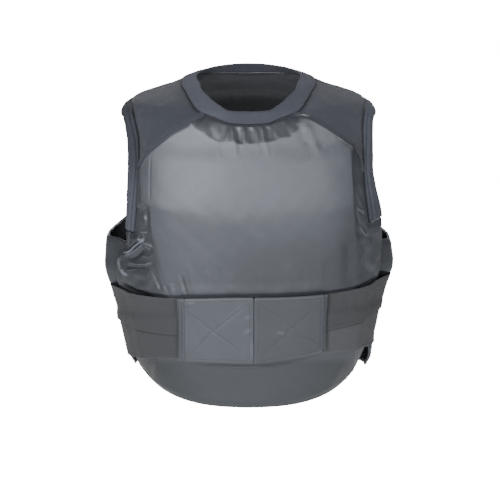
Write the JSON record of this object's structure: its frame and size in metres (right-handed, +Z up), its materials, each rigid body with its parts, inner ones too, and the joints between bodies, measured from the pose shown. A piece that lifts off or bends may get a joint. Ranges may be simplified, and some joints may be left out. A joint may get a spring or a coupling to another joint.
{
  "type": "concealable bulletproof vest",
  "caption": "Soft-armour vest in its worn shape, with padded front and back panels, knit shoulders, rib collar and armhole bands, and elastic waist straps closed by stitched patches in front.",
  "frame": {"origin": "middle of the neck opening at the height of the shoulders, where the vest sits on its wearer", "axes": "+Z up, the front of the vest faces -Y, +X is the viewer's right"},
  "size_m": [0.4184, 0.2614, 0.4634],
  "materials": {
    "front_panel": "satin woven nylon",
    "back_panel": "satin woven nylon",
    "shoulder_yoke": "matt jersey knit",
    "collar": "matt rib knit",
    "armhole_band": "matt rib knit",
    "strap": "matt woven elastic",
    "closure_patch": "brushed nylon",
    "patch_edge": "folded nylon"
  },
  "bodies": {
    "root": {"front_panel": "front_panel", "back_panel": "back_panel", "shoulder_yoke_left": "shoulder_yoke", "shoulder_yoke_right": "shoulder_yoke", "collar": "collar", "armhole_band_left": "armhole_band", "armhole_band_right": "armhole_band", "strap_upper_left": "strap", "strap_upper_right": "strap", "strap_lower_left": "strap", "strap_lower_right": "strap", "closure_patch_left": "closure_patch", "closure_patch_right": "closure_patch", "patch_edge_left": "patch_edge", "patch_edge_right": "patch_edge"}
  },
  "joints": []
}
